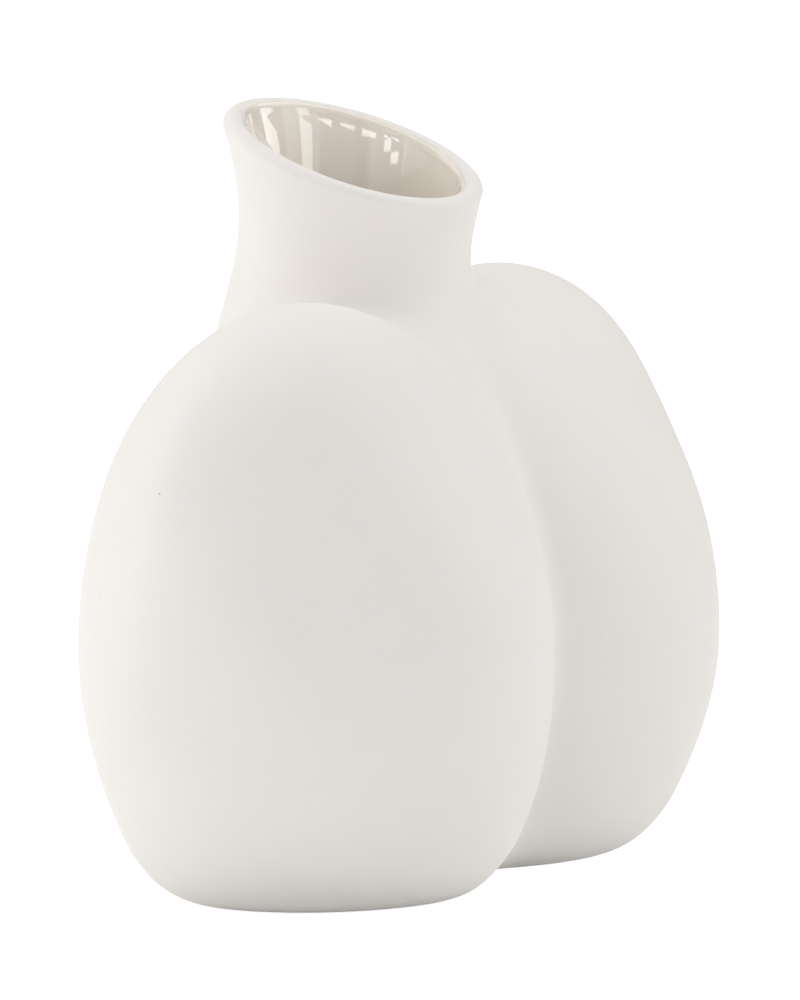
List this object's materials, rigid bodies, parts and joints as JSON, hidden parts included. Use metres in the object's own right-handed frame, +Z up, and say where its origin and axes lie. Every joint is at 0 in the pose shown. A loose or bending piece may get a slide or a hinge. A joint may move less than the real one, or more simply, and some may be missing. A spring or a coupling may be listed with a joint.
{
  "type": "torso vase",
  "caption": "Porcelain torso vase for cut flowers: rounded lobes with a deep crease between them and a flared neck with a slanted mouth; bare outside, glazed inside",
  "frame": {"origin": "on the plane that the vase stands on, under the middle of its outline", "axes": "+X from the near lobe to the far lobe, +Z up; the mouth is low towards -Y and the neck stands towards +Y"},
  "size_m": [0.1868, 0.096, 0.1598],
  "materials": {
    "bare_porcelain": "matte",
    "clear_glaze": "gloss"
  },
  "bodies": {
    "root": {"porcelain_body": "bare_porcelain", "inner_glaze": "clear_glaze"}
  },
  "joints": []
}
